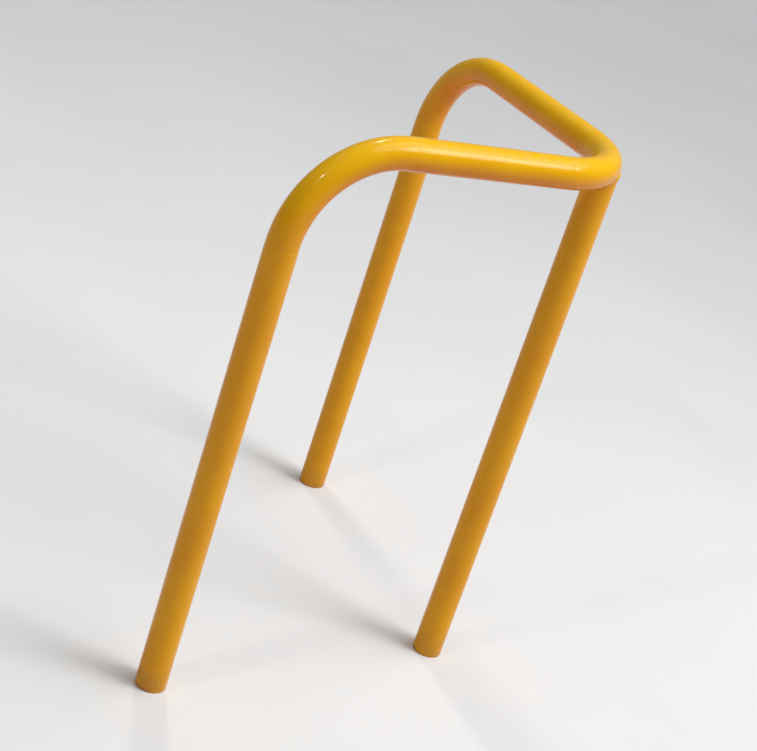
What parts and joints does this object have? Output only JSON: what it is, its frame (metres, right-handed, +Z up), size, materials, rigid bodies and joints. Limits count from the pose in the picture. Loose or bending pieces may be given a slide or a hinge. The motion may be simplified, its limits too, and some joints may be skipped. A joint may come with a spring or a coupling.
{
  "type": "corner hoop guard",
  "caption": "Three-legged corner hoop guard of bent round tube: an L-shaped top rail, two end legs and a welded corner leg, coated glossy yellow.",
  "frame": {"origin": "on the floor, at the middle of the guard's footprint", "axes": "+Z up; from the corner the left arm runs along -X and the rear arm along +Y"},
  "size_m": [0.6184, 0.6182, 0.9],
  "materials": {
    "yellow_coat": "gloss"
  },
  "bodies": {
    "root": {"rail_tube": "yellow_coat", "corner_leg": "yellow_coat", "corner_weld": "yellow_coat", "left_end_disc": "yellow_coat", "left_end_weld": "yellow_coat", "rear_end_disc": "yellow_coat", "rear_end_weld": "yellow_coat", "corner_end_disc": "yellow_coat", "corner_end_weld": "yellow_coat"}
  },
  "joints": []
}
